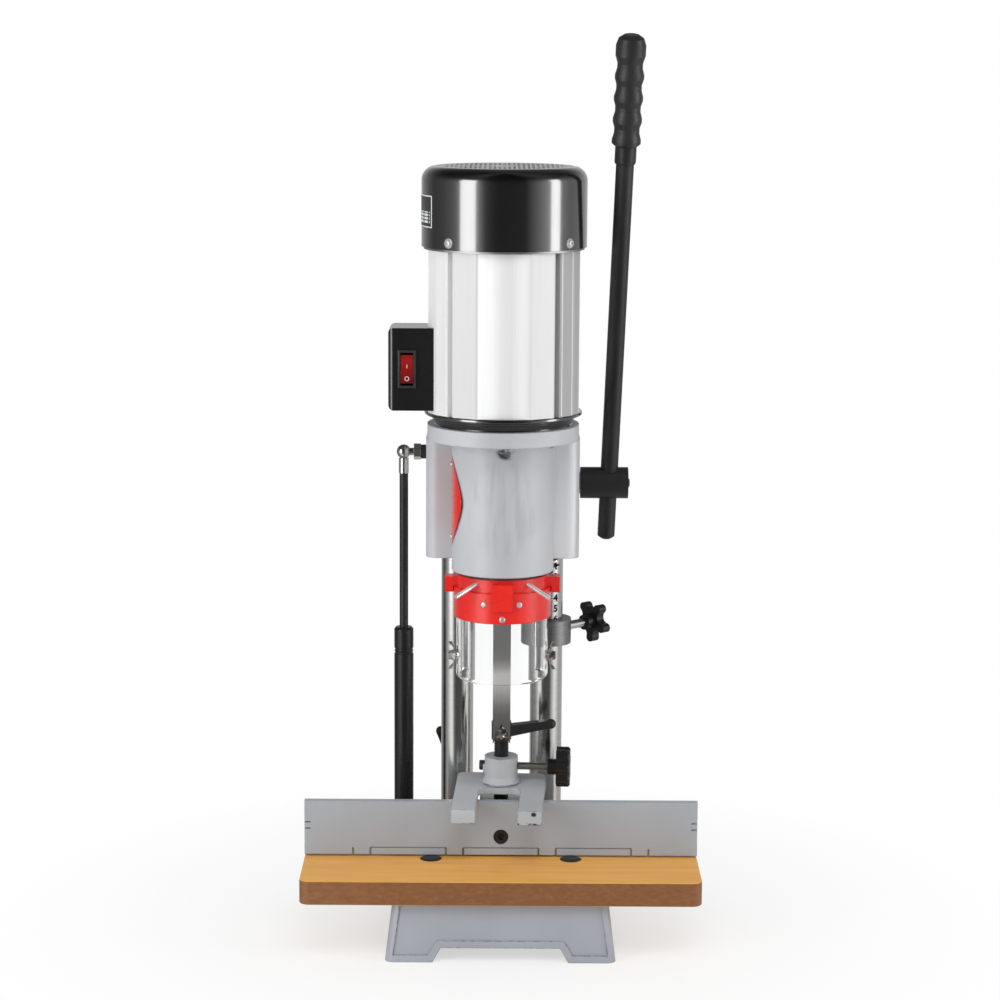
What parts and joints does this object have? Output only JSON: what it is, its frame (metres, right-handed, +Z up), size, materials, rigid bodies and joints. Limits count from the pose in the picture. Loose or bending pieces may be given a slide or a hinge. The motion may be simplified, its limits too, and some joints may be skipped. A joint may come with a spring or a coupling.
{
  "type": "benchtop mortiser",
  "caption": "Benchtop mortiser: motor head with a hollow square chisel on two columns, pulled down by a lever, over a table with fence, hold-down and gas spring",
  "frame": {"origin": "on the bench surface, at the centre of the four bench bolt holes in the base", "axes": "+X to the right of the user, -Y towards the user, +Z up along the columns and the spindle"},
  "size_m": [0.36, 0.2368, 0.821],
  "materials": {
    "base_paint": "satin light grey paint",
    "head_paint": "satin light grey paint",
    "fence_paint": "satin light grey paint",
    "holder_iron": "grey painted casting",
    "wood_board": "faced board with brown edge",
    "chrome": "polished",
    "steel": "machined",
    "black_steel": "blackened",
    "stop_steel": "dark machined",
    "motor_aluminium": "bright extruded",
    "black_gloss": "gloss black",
    "plate_aluminium": "cast",
    "grille_metal": "plated",
    "black_plastic": "moulded",
    "red_plastic": "moulded",
    "red_paint": "gloss red",
    "clear_plastic": "clear",
    "gasket_rubber": "matt",
    "grip_rubber": "satin moulded",
    "tube_paint": "satin black",
    "bronze": "turned",
    "winding": "varnished laminations"
  },
  "bodies": {
    "stand": {"base_casting": "base_paint", "table_board": "wood_board", "table_bolts": "black_steel", "column_left": "chrome", "column_right": "chrome", "gas_tube": "tube_paint", "gas_socket_low": "black_steel", "gas_stud_low": "chrome"},
    "head": {"head_casting": "head_paint", "access_cover": "red_paint", "access_gasket": "gasket_rubber", "small_screws": "steel", "pinion_cap": "head_paint", "motor_shield": "black_gloss", "motor_body": "motor_aluminium", "motor_stator": "winding", "motor_top_plate": "plate_aluminium", "fan_cover": "black_gloss", "fan_grille": "grille_metal", "cover_screws": "steel", "motor_bearings": "steel", "chisel_bushing": "bronze", "mortise_chisel": "steel", "guard_clamp_ring": "red_paint", "guard_pins": "steel", "guard_ring": "red_paint", "guard_cup": "clear_plastic", "switch_box": "black_plastic", "gas_rod": "black_steel", "gas_socket_high": "chrome", "gas_stud_high": "chrome", "gas_spacer": "black_steel"},
    "spindle": {"motor_shaft": "steel", "motor_rotor": "winding", "chuck_body": "steel", "chuck_jaws": "steel", "cooling_fan": "black_plastic", "auger_bit": "steel"},
    "lever": {"pinion_gear": "steel", "pinion_shaft": "chrome", "lever_hub": "black_steel", "lever_rod": "black_steel", "lever_grip": "grip_rubber"},
    "rocker": {"switch_rocker": "red_plastic"},
    "depth_stop": {"stop_block": "stop_steel"},
    "stop_clamp": {"stop_stud": "chrome", "stop_knob": "black_plastic"},
    "fence": {"fence_plate": "fence_paint", "fence_bolt": "black_steel", "fence_bracket": "fence_paint", "slide_bar": "steel", "hold_down_post": "black_steel", "post_lock_ring": "steel"},
    "hold_down": {"hold_down_fork": "holder_iron"},
    "hold_down_clamp": {"hold_down_stud": "chrome", "hold_down_knob": "black_plastic"},
    "post_handle": {"hold_down_lever": "black_steel"},
    "fence_handle": {"fence_lever": "black_steel"},
    "left_nut": {"wing_nut_left": "steel"},
    "right_nut": {"wing_nut_right": "steel"}
  },
  "joints": [
    {"name": "head_slide", "type": "slide", "parent": "stand", "child": "head", "axis": [0, 0, -1], "range_m": [0, 0.056], "stiffness_N_per_m": 600, "springref_m": -0.4},
    {"name": "lever_turn", "type": "hinge", "parent": "head", "child": "lever", "pos_m": [0.07, 0.004, 0.4168], "axis": [1, 0, 0], "range_deg": [0, 134]},
    {"name": "spindle_spin", "type": "hinge", "parent": "head", "child": "spindle", "pos_m": [0, -0.05, 0.5], "axis": [0, 0, 1], "continuous": true},
    {"name": "rocker_press", "type": "hinge", "parent": "head", "child": "rocker", "pos_m": [-0.0844, -0.08, 0.5308], "axis": [1, 0, 0], "range_deg": [0, 12]},
    {"name": "stop_slide", "type": "slide", "parent": "stand", "child": "depth_stop", "axis": [0, 0, -1], "range_m": [-0.012, 0.1]},
    {"name": "stop_clamp_turn", "type": "hinge", "parent": "depth_stop", "child": "stop_clamp", "pos_m": [0.0415, 0.04, 0.2715], "axis": [0.7431, 0.6691, 0], "range_deg": [-180, 180]},
    {"name": "fence_slide", "type": "slide", "parent": "stand", "child": "fence", "axis": [0, 1, 0], "range_m": [-0.012, 0.012]},
    {"name": "hold_down_slide", "type": "slide", "parent": "fence", "child": "hold_down", "axis": [0, 0, 1], "range_m": [-0.001, 0.014]},
    {"name": "hold_down_clamp_turn", "type": "hinge", "parent": "hold_down", "child": "hold_down_clamp", "pos_m": [0, -0.01, 0.154], "axis": [0.9978, -0.0663, 0], "range_deg": [-180, 180]},
    {"name": "post_handle_turn", "type": "hinge", "parent": "fence", "child": "post_handle", "pos_m": [0, -0.01, 0.187], "axis": [0, 0, 1], "range_deg": [-12, 20]},
    {"name": "fence_handle_turn", "type": "hinge", "parent": "stand", "child": "fence_handle", "pos_m": [-0.03, 0.078, 0.088], "axis": [1, 0, 0], "range_deg": [-40, 12]},
    {"name": "left_nut_turn", "type": "hinge", "parent": "head", "child": "left_nut", "pos_m": [-0.045, -0.05, 0.2676], "axis": [1, 0, 0], "range_deg": [-180, 180]},
    {"name": "right_nut_turn", "type": "hinge", "parent": "head", "child": "right_nut", "pos_m": [0.045, -0.05, 0.2676], "axis": [1, 0, 0], "range_deg": [-180, 180]}
  ],
  "couplings": [
    {"joint": "lever_turn", "follows": "head_slide", "rad_per_m": 41.667}
  ]
}
